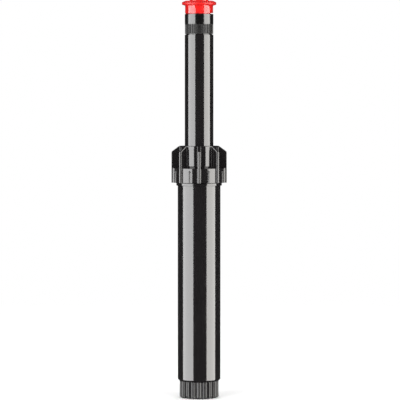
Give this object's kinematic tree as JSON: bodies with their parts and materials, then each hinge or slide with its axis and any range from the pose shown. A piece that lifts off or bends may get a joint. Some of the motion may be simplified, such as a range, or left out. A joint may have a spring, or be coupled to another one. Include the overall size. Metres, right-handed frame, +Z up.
{
  "type": "pop up sprinkler",
  "caption": "Pop-up spray sprinkler: tubular case with threaded bottom inlet, finned screw cap, spring-return riser and adjustable-arc nozzle.",
  "frame": {"origin": "centre of the inlet's mouth, on the bottom face of the case", "axes": "+Z up the riser's axis towards the nozzle; one fin of the cap points along -Y; +X completes a right-handed frame"},
  "size_m": [0.0386, 0.0386, 0.2785],
  "materials": {
    "black_plastic": "gloss",
    "nozzle_black": "satin",
    "collar_red": "gloss",
    "seal_rubber": "matte",
    "spring_steel": "satin",
    "natural_plastic": "satin"
  },
  "bodies": {
    "case": {"case_body": "black_plastic", "cap": "black_plastic", "wiper_seal": "seal_rubber", "seal_retainer": "natural_plastic", "retraction_spring": "spring_steel"},
    "ratchet": {"ratchet_ring": "natural_plastic"},
    "riser": {"riser_foot": "black_plastic", "foot_seal": "seal_rubber", "riser_stem": "black_plastic", "nozzle_base": "nozzle_black", "deflector": "collar_red", "screw_oring": "seal_rubber", "filter_cage": "natural_plastic", "filter_mesh": "spring_steel"},
    "collar": {"arc_collar": "collar_red"},
    "screw": {"radius_screw": "spring_steel"},
    "throttle": {"throttle_plug": "natural_plastic"}
  },
  "joints": [
    {"name": "riser_popup", "type": "slide", "parent": "case", "child": "ratchet", "axis": [0, 0, 1], "range_m": [-0.0976, 0], "deforming": ["retraction_spring"]},
    {"name": "riser_turn", "type": "hinge", "parent": "ratchet", "child": "riser", "pos_m": [0, 0, 0.12], "axis": [0, 0, 1], "continuous": true},
    {"name": "arc_adjust", "type": "hinge", "parent": "riser", "child": "collar", "pos_m": [0, 0, 0.272], "axis": [0, 0, 1], "range_deg": [-59, 121]},
    {"name": "radius_adjust", "type": "hinge", "parent": "riser", "child": "screw", "pos_m": [0, 0, 0.277], "axis": [0, 0, 1], "range_deg": [-1440, 1440]},
    {"name": "throttle_slide", "type": "slide", "parent": "riser", "child": "throttle", "axis": [0, 0, 1], "range_m": [-0.0032, 0.0032]}
  ],
  "couplings": [
    {"joint": "radius_adjust", "follows": "throttle_slide", "rad_per_m": -7854}
  ]
}
